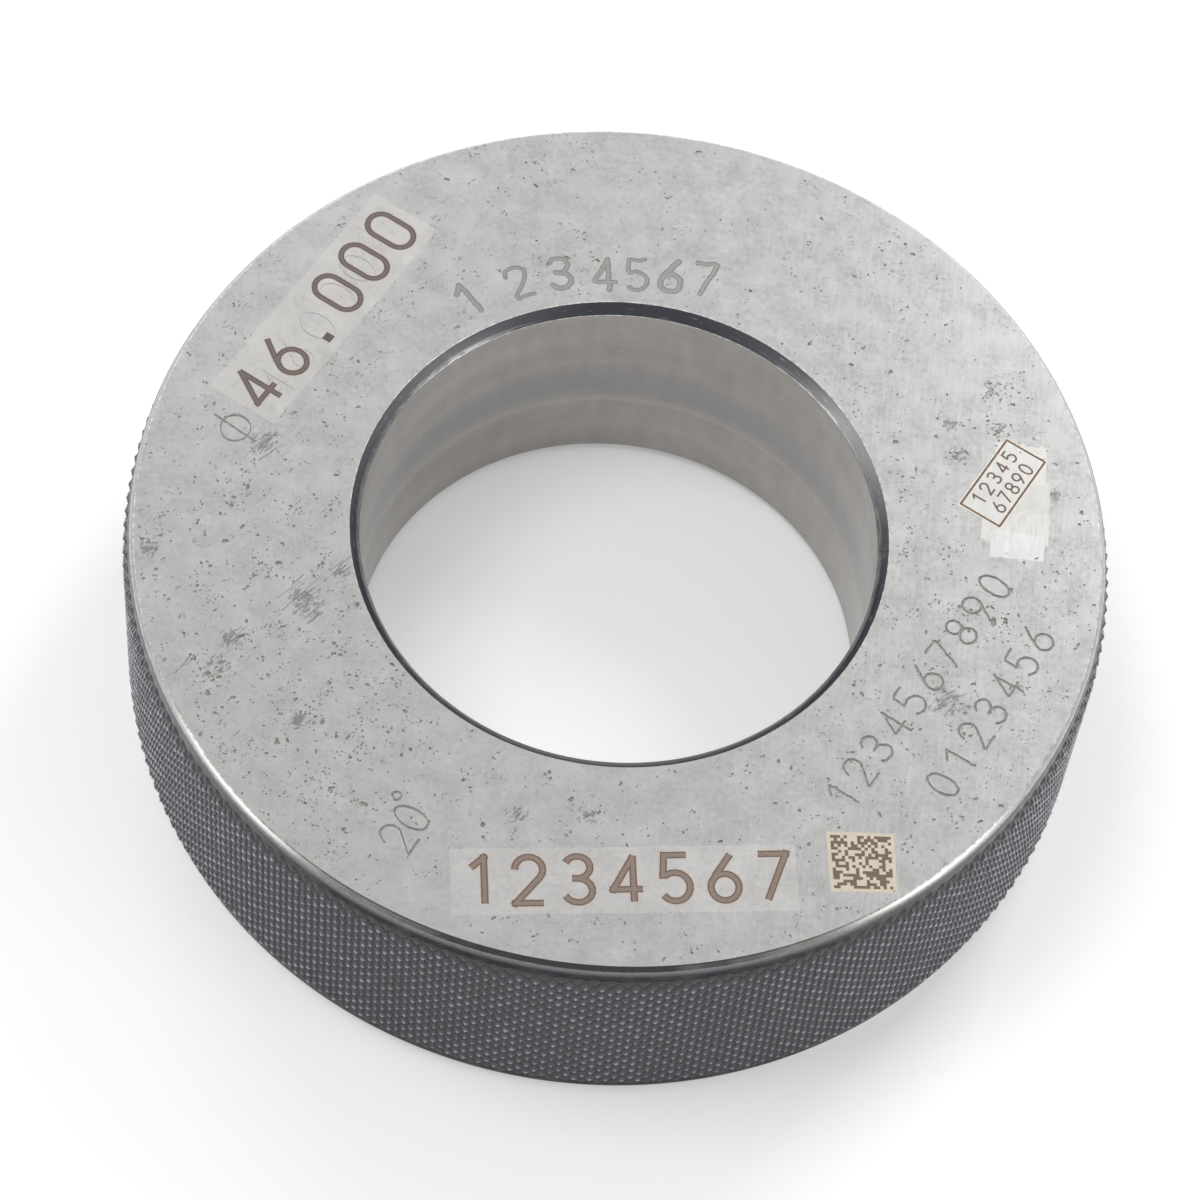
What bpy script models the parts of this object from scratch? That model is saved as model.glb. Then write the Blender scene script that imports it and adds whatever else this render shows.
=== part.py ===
"""Setting ring gauge: a hardened steel ring with a lapped bore, ground faces and a knurled rim.

Metres, +Z up. The origin is the centre of the bottom face, on the axis of the bore.
The ring is turned from one piece of steel, so it is one closed mesh. The mesh is built as a
chain of rings of points: up the bore, out over the top face, down the knurled rim and back in
under the bottom face. Each ring is joined to the next one, and the last to the first.
"""
import math

import bmesh
import bpy

MM = 0.001

# Bore and faces
BORE_DIAMETER = 46.007 * MM
THICKNESS = 24.0 * MM
BORE_CHAMFER = 0.93 * MM

# Rim: the knurl's crests, and the smooth neck at the bottom of its grooves
KNURL_DIAMETER = 87.8 * MM
KNURL_DEPTH = 0.5 * MM
DIAMONDS_AROUND = 120
GROOVE_ANGLE = math.radians(45.0)

# Edge of each face, from the face down to the first row of the knurl
BEVEL_WIDTH = 0.35 * MM
BEVEL_HEIGHT = 0.42 * MM
ROUNDING_WIDTH = 0.20 * MM
ROUNDING_HEIGHT = 0.50 * MM
NECK_HEIGHT = 0.88 * MM
KNURL_RUN_OUT = 0.30 * MM

# Flat sides that stand for the circles of the bore and of the plain edges
BORE_SIDES = 96
EDGE_SIDES = 120

# Finishes, as slots of the mesh
GROUND, BLACKENED = 0, 1

bore_radius = BORE_DIAMETER / 2
crest_radius = KNURL_DIAMETER / 2
neck_radius = crest_radius - KNURL_DEPTH
face_radius = neck_radius - ROUNDING_WIDTH - BEVEL_WIDTH
neck_top = BEVEL_HEIGHT + ROUNDING_HEIGHT
neck_end = neck_top + NECK_HEIGHT
knurl_start = neck_end + KNURL_RUN_OUT


def clear_scene():
    """Removes whatever the scene holds at the start."""
    for old in list(bpy.data.objects):
        bpy.data.objects.remove(old, do_unlink=True)


def steel(name, colour, roughness, metallic):
    """A Principled material for one finish of the steel."""
    material = bpy.data.materials.new(name)
    material.use_nodes = True
    shader = material.node_tree.nodes["Principled BSDF"]
    shader.inputs["Base Color"].default_value = (*colour, 1.0)
    shader.inputs["Roughness"].default_value = roughness
    shader.inputs["Metallic"].default_value = metallic
    material.diffuse_color = (*colour, 1.0)
    return material


def ring(bm, radius, height, sides):
    """A closed ring of points, anticlockwise as seen from above."""
    points = []
    for index in range(sides):
        angle = math.tau * index / sides
        points.append(bm.verts.new((radius * math.cos(angle), radius * math.sin(angle), height)))
    return points


def join_rings(bm, first, second, finish):
    """Fills the band between two rings, which may have different numbers of points."""
    faces = []
    if len(first) == len(second):
        for index in range(len(first)):
            after = (index + 1) % len(first)
            faces.append(bm.faces.new((first[index], second[index], second[after], first[after])))
    else:
        i, j = 0, 0
        while i < len(first) or j < len(second):
            here, there = first[i % len(first)], second[j % len(second)]
            step_first = (2 * i + 1) * len(second) <= (2 * j + 1) * len(first)
            if step_first:
                i += 1
                ahead = first[i % len(first)]
            else:
                j += 1
                ahead = second[j % len(second)]
            faces.append(bm.faces.new((here, there, ahead)))
    for face in faces:
        face.material_index = finish


def knurl_row(bm, row, height):
    """One row of the knurl: crests and groove crossings in turn, shifted by one on each row."""
    points = []
    columns = 2 * DIAMONDS_AROUND
    for column in range(columns):
        is_crest = (column + row) % 2 == 0
        radius = crest_radius if is_crest else neck_radius
        angle = math.tau * column / columns
        points.append(bm.verts.new((radius * math.cos(angle), radius * math.sin(angle), height)))
    return points


def join_knurl_rows(bm, upper, lower, row):
    """Joins two rows so that each edge between two groove crossings is the floor of a groove."""
    columns = len(upper)
    for column in range(columns):
        after = (column + 1) % columns
        corner_is_crest = (column + row) % 2 == 0
        if corner_is_crest:
            triangles = ((upper[column], lower[column], upper[after]),
                         (lower[column], lower[after], upper[after]))
        else:
            triangles = ((upper[column], lower[column], lower[after]),
                         (upper[column], lower[after], upper[after]))
        for corners in triangles:
            bm.faces.new(corners).material_index = BLACKENED


def knurl(bm):
    """The diamond knurl, as whole rows between the two necks. Gives its top and bottom rows."""
    band = THICKNESS - 2 * knurl_start
    diamond_width = math.tau * crest_radius / DIAMONDS_AROUND
    diamond_height = diamond_width / math.tan(GROOVE_ANGLE)
    steps = max(1, round(2 * band / diamond_height))
    top_row = upper = knurl_row(bm, 0, THICKNESS - knurl_start)
    for row in range(steps):
        height = THICKNESS - knurl_start - band * (row + 1) / steps
        lower = knurl_row(bm, row + 1, height)
        join_knurl_rows(bm, upper, lower, row)
        upper = lower
    return top_row, upper


def end_rings(bm, height_at):
    """The rings of one end, from the bore's wall over the face to the neck.

    height_at gives the height of a depth below that end's face. Each ring comes with the finish
    of the band that leads to it from the ring before.
    """
    outline = (
        (bore_radius, BORE_CHAMFER, BORE_SIDES, GROUND),
        (bore_radius + BORE_CHAMFER, 0.0, BORE_SIDES, BLACKENED),
        (face_radius, 0.0, EDGE_SIDES, GROUND),
        (face_radius + BEVEL_WIDTH, BEVEL_HEIGHT, EDGE_SIDES, BLACKENED),
        (neck_radius, neck_top, EDGE_SIDES, BLACKENED),
        (neck_radius, neck_end, EDGE_SIDES, BLACKENED),
    )
    return [(ring(bm, radius, height_at(depth), sides), finish)
            for radius, depth, sides, finish in outline]


def ring_mesh():
    """The whole ring as one closed mesh."""
    bm = bmesh.new()
    top = end_rings(bm, lambda depth: THICKNESS - depth)
    bottom = end_rings(bm, lambda depth: depth)
    for (inner, _), (outer, finish) in zip(top, top[1:]):
        join_rings(bm, inner, outer, finish)
    for (inner, _), (outer, finish) in zip(bottom, bottom[1:]):
        join_rings(bm, outer, inner, finish)
    join_rings(bm, bottom[0][0], top[0][0], GROUND)
    top_row, bottom_row = knurl(bm)
    join_rings(bm, top[-1][0], top_row, BLACKENED)
    join_rings(bm, bottom_row, bottom[-1][0], BLACKENED)
    mesh = bpy.data.meshes.new("ring_gauge")
    bm.to_mesh(mesh)
    bm.free()
    return mesh


def build():
    """Makes the ring and gives it its two finishes."""
    clear_scene()
    mesh = ring_mesh()
    mesh.materials.append(steel("ground_steel", (0.50, 0.50, 0.49), 0.32, 1.0))
    mesh.materials.append(steel("blackened_steel", (0.055, 0.057, 0.065), 0.38, 0.6))
    mesh.shade_smooth()
    mesh.set_sharp_from_angle(angle=math.radians(15.0))
    gauge = bpy.data.objects.new("ring_gauge", mesh)
    bpy.context.scene.collection.objects.link(gauge)


build()
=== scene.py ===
import math
import random

import bpy
import numpy as np
from mathutils import Matrix, Vector
from mathutils.geometry import delaunay_2d_cdt


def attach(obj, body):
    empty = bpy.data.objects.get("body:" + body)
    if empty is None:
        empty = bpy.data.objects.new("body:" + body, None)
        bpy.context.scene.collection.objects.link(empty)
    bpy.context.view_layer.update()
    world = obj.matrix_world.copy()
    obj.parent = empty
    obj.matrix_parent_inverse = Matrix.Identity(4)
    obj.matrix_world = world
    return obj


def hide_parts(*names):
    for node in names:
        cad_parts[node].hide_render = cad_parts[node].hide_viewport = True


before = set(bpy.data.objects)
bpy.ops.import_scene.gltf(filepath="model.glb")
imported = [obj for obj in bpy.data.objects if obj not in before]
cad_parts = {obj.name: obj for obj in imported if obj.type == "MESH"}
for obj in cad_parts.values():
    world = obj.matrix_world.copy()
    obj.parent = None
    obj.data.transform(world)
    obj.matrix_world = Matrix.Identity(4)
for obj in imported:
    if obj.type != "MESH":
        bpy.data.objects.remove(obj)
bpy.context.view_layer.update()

# Lengths are in millimetres and angles in degrees, unless a name says otherwise.
MM = 0.001
NODE = "ring_gauge"
SEED = 46

# The photograph's camera: where it looks from, and where the top face's middle lies in the picture.
CAMERA_ELEVATION = 59.94
CAMERA_ROLL = 6.96
CAMERA_LENS = 136.56
CAMERA_DISTANCE = 402.5
FACE_RIGHT_OF_MIDDLE = 1.78
FACE_ABOVE_MIDDLE = 6.42

# How finely the ring is cut up.
BORE_SIDES = 256
DIAMONDS_AROUND = 195
COLUMNS = 2 * DIAMONDS_AROUND
DIAMOND_ROWS = 29

# The small breaks on the turned edges, as width and drop.
EDGE_BREAK = (0.12, 0.09)
LINE_BREAK = (0.03, 0.04)
BORE_BREAK = 0.07

# The knurl: a crest's flat as a share of half a diamond, how unevenly it was rolled, how much lower its
# edge rows are, and how far its scallops reach into the smooth neck.
CREST_FLAT = 0.16
CREST_FLAT_SPREAD = 0.07
CREST_HEIGHT_SPREAD = 0.02
VALLEY_SPREAD = 0.02
EDGE_ROW_DROP = 0.2
SCALLOP_OUT = 0.20
SCALLOP_IN = 0.14

# Marks on the top face. Every place is in its plane, x to the right and y to the back. A patch is its
# left, front, right and back side before it is turned. A groove is its width and its depth, and a wobble
# is how far apart its steps are and how far off they lie. Halos and rims are differences in width.
LARGE_TURN = 62.5
LONG_TURN = 8.6
PATCHES = ((LARGE_TURN, (-9.05, 31.1, 16.7, 38.1)), (LONG_TURN, (-16.0, -37.8, 13.45, -31.56)))
LARGE_DIGITS = dict(
    text="46.000", turn=LARGE_TURN, start=-8.13, foot=32.27, height=4.57, pitch=4.2, stroke=0.53,
    shade="dark laser",
)
LONG_DIGITS = dict(
    text="1234567", turn=LONG_TURN, start=-14.7, foot=-36.75, height=4.35, pitch=4.15, stroke=0.62,
    shade="laser",
)
LASER_POINT = (0.6, -0.25, 1.45, 0.6)
LASER_HALO = 0.2
LASER_RIM = 0.26
ROW_ONE = dict(text="1234567890", first=(21.65, -23.95), turn=62.5, pitch=2.83, height=2.95)
ROW_TWO = dict(text="0123456", first=(30.2, -21.7), turn=64.7, pitch=2.87, height=2.95)
ENGRAVED_GROOVE = (0.26, 0.06)
ENGRAVED_WOBBLE = (0.35, 0.022)
DIAMETER_SIGN = dict(middle=(-35.1, 5.4), radius=1.35, bar=2.3, turn=150, groove=(0.22, 0.04))
ANGLE_MARK = (("2", (-15.6, -33.2)), ("0", (-14.7, -31.1)), ("degree", (-14.9, -29.3)))
ANGLE_MARK_TURN = 65
ANGLE_MARK_HEIGHT = 3.2
STAMP_CORNERS = ((33.6, 14.0), (37.15, 12.17), (33.5, 4.875), (29.9, 6.75))
STAMP_ROWS = (("12345", 0.92, 1.35), ("67890", -0.95, 1.2))
STAMP_DIGIT_HEIGHT = 1.3
STAMP_LINE = 0.2
STAMP_DIGIT_LINE = 0.18
STAMP_HALO = 0.22
CODE_CORNERS = ((20.66, -27.65), (26.3, -27.1), (26.97, -32.5), (21.5, -33.1))
CODE_CELLS = 18
CODE_FILLED = 0.52
CODE_GROUND_SHARE = 1.03
CODE_CELLS_SHARE = 0.92
SCRATCHED_DIGITS = "1234567"
SCRATCHED_PLACES = (
    (-16.2, 22.1, 40), (-11.9, 24.6, 32), (-8.25, 26.1, 20), (-4.25, 26.5, 8),
    (-1.2, 26.9, 5), (1.9, 27.25, 0), (5.1, 27.4, 2),
)
SCRATCHED_HEIGHT = 3.4
SCRATCHED_WIDTH = 0.52
SCRATCHED_DEPTH = 0.008
SCRATCHED_WOBBLE = (0.5, 0.045)
SCRATCHED_RIM = 0.26
GHOST_RINGS = ((-29.4, 17.2), (-28.0, 20.6), (-26.6, 23.9))
GHOST_RADII = (1.15, 1.75)
GHOST_RING_GROOVE = (0.2, 0.012)
GHOST_DIGITS = (("4", (-32.2, 10.6)), ("6", (-30.8, 13.9)))
GHOST_HEIGHT = 3.3
GHOST_DIGIT_GROOVE = (0.16, 0.01)
SCRAPES = (
    (32.6, 9.7, 37.3, 13.7, "scraped"), (33.6, 6.3, 37.8, 10.1, "scraped soft"),
    (31.9, 3.3, 37.9, 6.6, "scraped"), (32.8, 1.7, 37.6, 4.4, "scraped bright"),
)
SCRAPE_WIDTHS = (0.22, 0.6)
SCRAPE_RAGGED = 0.11
MARKED_ROUNDS = ((34.5, 7.6, 5.0), (23.8, -30.3, 3.6))

# Pits in the top face: their sizes in square millimetres with how many there are of each, how dense they
# lie in each twelfth of the turn, counted from the right and on past the back, clusters of them with how
# far each spreads and how many it has, and how many lie in a chain and how far apart.
PIT_SIZES = (
    (0.006, 0.014, 900), (0.014, 0.03, 700), (0.03, 0.06, 250), (0.06, 0.12, 60), (0.12, 0.23, 11),
)
PIT_COUNT = 3100
FOOT_PIT_COUNT = 260
PIT_DENSITY = (0.32, 0.25, 0.17, 0.18, 0.15, 0.32, 0.73, 0.71, 0.37, 0.25, 0.35, 0.54)
PIT_CLUSTERS = (
    (32.2, 19.1, 1.3, 26), (32.8, 14.9, 1.1, 26), (28.6, 11.6, 0.9, 16), (27.4, 15.4, 0.7, 8),
    (29.1, 15.2, 0.7, 8), (29.9, 2.2, 0.9, 10), (34.3, -5.3, 0.9, 12), (36.4, -11.3, 0.9, 10),
    (31.9, -16.4, 0.9, 8), (25.2, 0.8, 0.7, 6), (-41.0, -7.4, 0.9, 12), (-40.4, -5.2, 0.9, 8),
    (-28.6, -2.4, 1.0, 12), (-33.9, -20.3, 1.1, 10), (-33.3, 1.0, 0.8, 6), (-6.8, 30.6, 0.7, 7),
    (13.5, 39.9, 1.1, 10), (-31.5, 5.3, 0.5, 6), (-20.0, -18.5, 1.6, 12), (-14.0, -24.0, 1.3, 12),
    (-10.6, -25.9, 0.9, 9), (-30.5, -8.5, 1.7, 14), (-24.5, -22.5, 1.5, 12), (29.0, -10.0, 1.2, 9),
    (38.6, 1.0, 1.0, 7), (-34.0, 12.5, 1.3, 10), (8.0, 34.0, 1.2, 6), (-1.0, -28.2, 1.1, 8),
    (33.8, 20.5, 1.2, 9),
)
PIT_CHAINS = (1, 1, 1, 2, 2, 3, 5)
PIT_STEP = 0.32
CLUSTER_GROWTH = 1.4
PIT_EDGE_ROOM = 0.45
PIT_FLOOR = 0.5
PIT_SMALL = 0.06
PIT_DEPTH = 0.45
PIT_DEEPEST = 0.10

# Places hatched with short fine scratches: how far they reach, and how many there are.
HATCHES = (
    (-26.6, -11.3, 1.9, 18), (-32.2, 4.2, 1.3, 8), (-24.0, -7.4, 0.8, 8), (-32.3, -15.8, 1.2, 8),
    (-35.5, -19.0, 1.0, 5),
)
HATCH_TURN = 52
HATCH_SHORTEST = 0.3
HATCH_WIDTHS = (0.05, 0.1)

# Places where corrosion has run together into smudges, with how far each reaches.
SMUDGES = (
    (-32.4, 4.3, 1.7), (-23.9, -7.6, 1.0), (-26.4, -11.0, 2.1), (-32.2, -15.8, 1.5), (-40.6, -8.0, 1.3),
    (-33.0, -18.8, 1.4), (-5.9, -29.5, 1.2), (0.3, -29.0, 1.2), (32.2, 19.1, 1.2), (32.8, 14.9, 1.1),
    (29.4, 11.8, 1.0), (28.3, 15.0, 0.9), (38.1, 8.9, 1.1), (30.0, -13.5, 2.0), (-25.5, -23.0, 1.6),
)


def add_object(name, data):
    made = bpy.data.objects.new(name, data)
    bpy.context.scene.collection.objects.link(made)
    return made


def cad_outline():
    """The CAD ring's turned outline: a set of radius and height pairs, rounded to 0.01."""
    points = (vertex.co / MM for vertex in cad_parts[NODE].data.vertices)
    return {(round(math.hypot(point.x, point.y), 2), round(point.z, 2)) for point in points}


class Sizes:
    """The ring's sizes, read from the CAD solid."""

    def __init__(self, outline):
        self.height = max(z for radius, z in outline)
        face = [radius for radius, z in outline if z == self.height]
        self.bore_edge = min(face)
        self.face_edge = max(face)
        self.bore = min(radius for radius, z in outline)
        self.crest = max(radius for radius, z in outline)
        self.chamfer = self.height - max(z for radius, z in outline if radius == self.bore)
        outside = sorted(((self.height - z, radius) for radius, z in outline if radius > self.face_edge))
        (self.bevel_drop, self.bevel), (self.round_drop, self.neck) = outside[:2]
        self.neck_end = outside[2][0]
        self.knurl_start = outside[3][0]


SIZE = Sizes(cad_outline())


class Shell:
    """The points and faces of one closed mesh, with a finish on each face."""

    def __init__(self):
        self.points = []
        self.faces = []
        self.finishes = []
        self.smooth = []

    def point(self, x, y, z):
        self.points.append((x * MM, y * MM, z * MM))
        return len(self.points) - 1

    def polar(self, radius, turn, z):
        return self.point(radius * math.cos(turn), radius * math.sin(turn), z)

    def face(self, corners, finish, smooth=True):
        self.faces.append(corners)
        self.finishes.append(finish)
        self.smooth.append(smooth)

    def ring(self, radius, z, count):
        return [self.polar(radius, math.tau * step / count, z) for step in range(count)]

    def band(self, first, second, finish):
        """Joins two rings. It faces outward where the first ring is above the second."""
        for step in range(len(first)):
            after = (step + 1) % len(first)
            self.face((first[step], second[step], second[after], first[after]), finish)

    def build(self, name, materials):
        mesh = bpy.data.meshes.new(name)
        mesh.from_pydata(self.points, [], self.faces)
        order = list(materials)
        for finish in order:
            mesh.materials.append(materials[finish])
        mesh.polygons.foreach_set("material_index", [order.index(finish) for finish in self.finishes])
        mesh.set_sharp_from_angle(angle=math.radians(25))
        mesh.polygons.foreach_set("use_smooth", self.smooth)
        mesh.validate()
        return add_object(name, mesh)


# Digits are drawn as strokes in a box one high and GLYPH_WIDTH wide. Each stroke is its points, and
# whether it closes on itself.
GLYPH_WIDTH = 0.55


def arc(middle_x, middle_y, radius_x, radius_y, start, end, steps=13):
    turns = np.radians(np.linspace(start, end, steps))
    return np.column_stack((middle_x + radius_x * np.cos(turns), middle_y + radius_y * np.sin(turns)))


def oval(middle_x, middle_y, radius_x, radius_y, steps):
    return arc(middle_x, middle_y, radius_x, radius_y, 0, 360, steps)[:-1]


def line(*points):
    return np.array(points, dtype=float)


def rectangle(left, low, right, high):
    return line((left, low), (right, low), (right, high), (left, high))


def digit_strokes():
    wide = GLYPH_WIDTH
    half = wide / 2
    zero = np.vstack((arc(half, 1 - half, half, half, 0, 180), arc(half, half, half, half, 180, 360)))
    two = np.vstack((arc(half, 1 - half, half, half, 180, -40), line((0, 0), (wide, 0))))
    five_top = line((wide - 0.05, 1), (0.06, 1), (0.03, 0.56))
    five = np.vstack((five_top, arc(0.26, 0.31, 0.29, 0.31, 125, -145, 15)))
    six_ring = oval(half, 0.29, half, 0.29, 25)
    six_tail = line((wide - 0.14, 1), (0.11, 0.56), (0.03, 0.40))
    turned = np.array((wide, 1.0))
    return {
        "0": [(zero, True)],
        "1": [(line((0.1, 0.78), (0.36, 1), (0.36, 0)), False)],
        "2": [(two, False)],
        "3": [
            (np.vstack((arc(0.27, 0.76, 0.25, 0.24, 155, -90), line((0.16, 0.52)))), False),
            (np.vstack((line((0.16, 0.52)), arc(0.27, 0.26, 0.28, 0.26, 90, -155))), False),
        ],
        "4": [
            (line((0.40, 0), (0.40, 1)), False),
            (line((0.42, 1), (0, 0.27), (wide + 0.03, 0.27)), False),
        ],
        "5": [(five, False)],
        "6": [(six_ring, True), (six_tail, False)],
        "7": [(line((0, 1), (wide, 1), (0.15, 0)), False)],
        "8": [(oval(half, 0.76, 0.235, 0.24, 21), True), (oval(half, 0.26, half, 0.26, 25), True)],
        "9": [(turned - six_ring, True), (turned - six_tail, False)],
        "round 0": [(oval(half, 0.5, half, 0.5, 27), True)],
        "degree": [(oval(0.14, 0.88, 0.12, 0.12, 15), True)],
    }


DIGITS = digit_strokes()


def turned(points, turn):
    """Points turned about the middle of the face."""
    angle = math.radians(turn)
    spin = np.array(((math.cos(angle), math.sin(angle)), (-math.sin(angle), math.cos(angle))))
    return np.asarray(points, dtype=float) @ spin


def mitres(points, closed):
    """The sideways step at each point of a stroke, one unit off its middle line."""
    ahead = np.roll(points, -1, axis=0) - points
    ahead /= np.linalg.norm(ahead, axis=1)[:, None] + 1e-12
    if not closed:
        ahead[-1] = ahead[-2]
    behind = np.roll(ahead, 1, axis=0)
    if not closed:
        behind[0] = ahead[0]
    sideways = np.column_stack((-ahead[:, 1], ahead[:, 0]))
    before = np.column_stack((-behind[:, 1], behind[:, 0]))
    both = sideways + before
    share = 1 + np.sum(sideways * before, axis=1)
    return both / np.maximum(share, 0.35)[:, None]


def split_at_corners(points, closed, most=65):
    """A stroke's parts between its sharp corners, each with which of its ends are such corners."""
    if closed:
        return [(points, True, False, False)]
    steps = np.diff(points, axis=0)
    turns = np.degrees(np.arctan2(steps[:, 1], steps[:, 0]))
    bends = np.abs((np.diff(turns) + 180) % 360 - 180)
    last = len(points) - 1
    cuts = [0] + [place + 1 for place in np.nonzero(bends > most)[0]] + [last]
    return [
        (points[low:high + 1], False, low > 0, high < last)
        for low, high in zip(cuts[:-1], cuts[1:])
    ]


def lengthened(points, half_width, first, second):
    """A stroke run on past its ends where they are corners, so that its parts overlap there."""
    points = points.copy()
    for wanted, end, inner in ((first, 0, 1), (second, -1, -2)):
        if wanted:
            step = points[end] - points[inner]
            points[end] = points[end] + step / np.linalg.norm(step) * half_width
    return points


def rounded_end(points, half_width):
    """The points round the far end of an open stroke, from its left side to its right."""
    ahead = points[-1] - points[-2]
    start = math.degrees(math.atan2(ahead[1], ahead[0]))
    return points[-1] + arc(0, 0, half_width, half_width, start + 60, start - 60, 3)


def stroke_loops(points, closed, half_width, rounded=False):
    """A stroke's outline: one loop where it is open, an outer and an inner one where it closes."""
    step = mitres(points, closed) * half_width
    left, right = points + step, points - step
    if not closed:
        if not rounded:
            return np.vstack((left, right[::-1])), None
        far, near_end = rounded_end(points, half_width), rounded_end(points[::-1], half_width)
        return np.vstack((left, far, right[::-1], near_end)), None
    spans = [np.ptp(side[:, 0]) for side in (left, right)]
    return (left, right) if spans[0] > spans[1] else (right, left)


class Marks:
    """Everything that is drawn or cut into one flat face, before it is cut into triangles."""

    def __init__(self):
        self.loops = []
        self.spines = []
        self.grooves = []
        self.pits = []

    def patch(self, loop, finish):
        self.loops.append((np.asarray(loop, dtype=float), None, finish))

    def stroke(self, points, closed, width, finish, rounded=False):
        for part, loop, first, second in split_at_corners(points, closed):
            if not rounded:
                part = lengthened(part, width / 2, first, second)
            outer, inner = stroke_loops(part, loop, width / 2, rounded)
            self.loops.append((outer, inner, finish))

    def groove(self, points, closed, width, depth, finish):
        self.stroke(points, closed, width, finish, rounded=True)
        self.spines.append((points, closed))
        self.grooves.append((points, closed, width / 2, depth))

    def engrave(self, strokes, size, finish):
        for points, closed in strokes:
            self.groove(points, closed, *size, finish)

    def pit(self, middle, radii, turn, depth):
        """An uneven hollow: its rim, and a smaller ring inside it at the full depth."""
        turns = turn + np.arange(len(radii)) * math.tau / len(radii)
        rim = np.column_stack((np.cos(turns), np.sin(turns))) * np.asarray(radii)[:, None]
        self.loops.append((middle + rim, None, "pit"))
        self.spines.append((middle + rim * PIT_FLOOR, True))
        self.pits.append((np.asarray(middle), rim, depth))


def laser_stroke(marks, points, closed, width, shade):
    """A burnt stroke: a paler core in a dark line, in a thin warm halo."""
    marks.stroke(points, closed, width + LASER_HALO, "laser halo")
    marks.stroke(points, closed, width, shade)
    marks.stroke(points, closed, width - LASER_RIM, shade + " core")


def write_laser(marks, text, turn, start, foot, height, pitch, stroke, shade):
    for place, letter in enumerate(text):
        corner = np.array((start + place * pitch, foot))
        if letter == ".":
            marks.patch(turned(corner + rectangle(*LASER_POINT), turn), shade)
            continue
        for points, closed in DIGITS[letter]:
            laser_stroke(marks, turned(corner + points * height, turn), closed, stroke, shade)


def letter_at(letter, middle, turn, height):
    """A digit's strokes with the middle of its box at a place."""
    box = np.array((GLYPH_WIDTH / 2, 0.5))
    strokes = DIGITS["round 0" if letter == "0" else letter]
    return [
        (np.asarray(middle) + turned((points - box) * height, turn), closed)
        for points, closed in strokes
    ]


def engrave_row(marks, draw, text, first, turn, pitch, height):
    for place, letter in enumerate(text):
        middle = np.asarray(first) + turned((place * pitch, 0), turn)
        for points, closed in letter_at(letter, middle, turn, height):
            path = wobble(points, closed, draw, *ENGRAVED_WOBBLE)
            marks.groove(path, closed, *ENGRAVED_GROOVE, "engraved")


def wobble(points, closed, draw, spacing, amount):
    """A hand's unsteadiness: the stroke is cut into even steps, and each point is a little off."""
    path = np.vstack((points, points[:1])) if closed else points
    lengths = np.concatenate(((0,), np.cumsum(np.linalg.norm(np.diff(path, axis=0), axis=1))))
    places = np.linspace(0, lengths[-1], max(3, int(lengths[-1] / spacing) + 1))
    if closed:
        places = places[:-1]
    even = np.column_stack([np.interp(places, lengths, path[:, axis]) for axis in (0, 1)])
    return even + np.array([(draw.gauss(0, amount), draw.gauss(0, amount)) for _ in even])


def scratch_digits(marks, draw):
    """Digits scratched by hand: wide uneven strokes with a paler core."""
    for letter, (x, y, turn) in zip(SCRATCHED_DIGITS, SCRATCHED_PLACES):
        for points, closed in letter_at(letter, (x, y), turn + draw.uniform(-5, 5), SCRATCHED_HEIGHT):
            width = SCRATCHED_WIDTH * draw.uniform(0.8, 1.15)
            path = wobble(points, closed, draw, *SCRATCHED_WOBBLE)
            marks.groove(path, closed, width, SCRATCHED_DEPTH, "scratched")
            marks.stroke(path, closed, width - SCRATCHED_RIM, "scratched core", rounded=True)


def date_stamp(marks):
    """The small stamped frame, with two rows of plain digits in it."""
    corners = np.array(STAMP_CORNERS)
    marks.patch(corners, "stamp ground")
    marks.stroke(corners, True, STAMP_LINE + STAMP_HALO, "stamp halo")
    marks.stroke(corners, True, STAMP_LINE, "laser")
    along = corners[0] - corners[3]
    turn = math.degrees(math.atan2(along[1], along[0]))
    middle = corners.mean(axis=0)
    for text, rise, pitch in STAMP_ROWS:
        for place, letter in enumerate(text):
            offset = turned(((place - (len(text) - 1) / 2) * pitch, rise), turn)
            for points, closed in letter_at(letter, middle + offset, turn, STAMP_DIGIT_HEIGHT):
                marks.stroke(points, closed, STAMP_DIGIT_LINE, "laser")


def code_square(marks, draw):
    """A square of small burnt cells in no order, on a pale ground."""
    corners = np.array(CODE_CORNERS)
    middle = corners.mean(axis=0)
    marks.patch(middle + (corners - middle) * CODE_GROUND_SHARE, "code ground")
    back_left, back_right, front_right, front_left = middle + (corners - middle) * CODE_CELLS_SHARE
    for row in range(CODE_CELLS):
        column = 0
        while column < CODE_CELLS:
            end = column
            while end < CODE_CELLS and draw.random() < CODE_FILLED:
                end += 1
            if end > column:
                cell = [
                    (front_left * (1 - across) + front_right * across) * (1 - up)
                    + (back_left * (1 - across) + back_right * across) * up
                    for across, up in rectangle(column, row, end, row + 1) / CODE_CELLS
                ]
                marks.patch(cell, "code cell")
            column = end + 1


def scrapes(marks, draw):
    """The brightly scraped place beside the stamp: short strokes side by side, with ragged ends."""
    for left, low, right, high, finish in SCRAPES:
        across = left
        while across < right:
            wide = min(draw.uniform(*SCRAPE_WIDTHS), right - across)
            foot, top = (end + draw.gauss(0, SCRAPE_RAGGED) for end in (low, high))
            marks.patch(rectangle(across, foot, across + wide, top), finish)
            across += wide


def diameter_sign(marks, middle, radius, bar, turn, groove):
    slash = np.array(middle) + turned(((-bar, 0), (bar, 0)), turn)
    marks.engrave([(oval(*middle, radius, radius, 29), True), (slash, False)], groove, "engraved")


def angle_mark(marks):
    for letter, middle in ANGLE_MARK:
        strokes = letter_at(letter, middle, ANGLE_MARK_TURN, ANGLE_MARK_HEIGHT)
        marks.engrave(strokes, ENGRAVED_GROOVE, "engraved")


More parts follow.
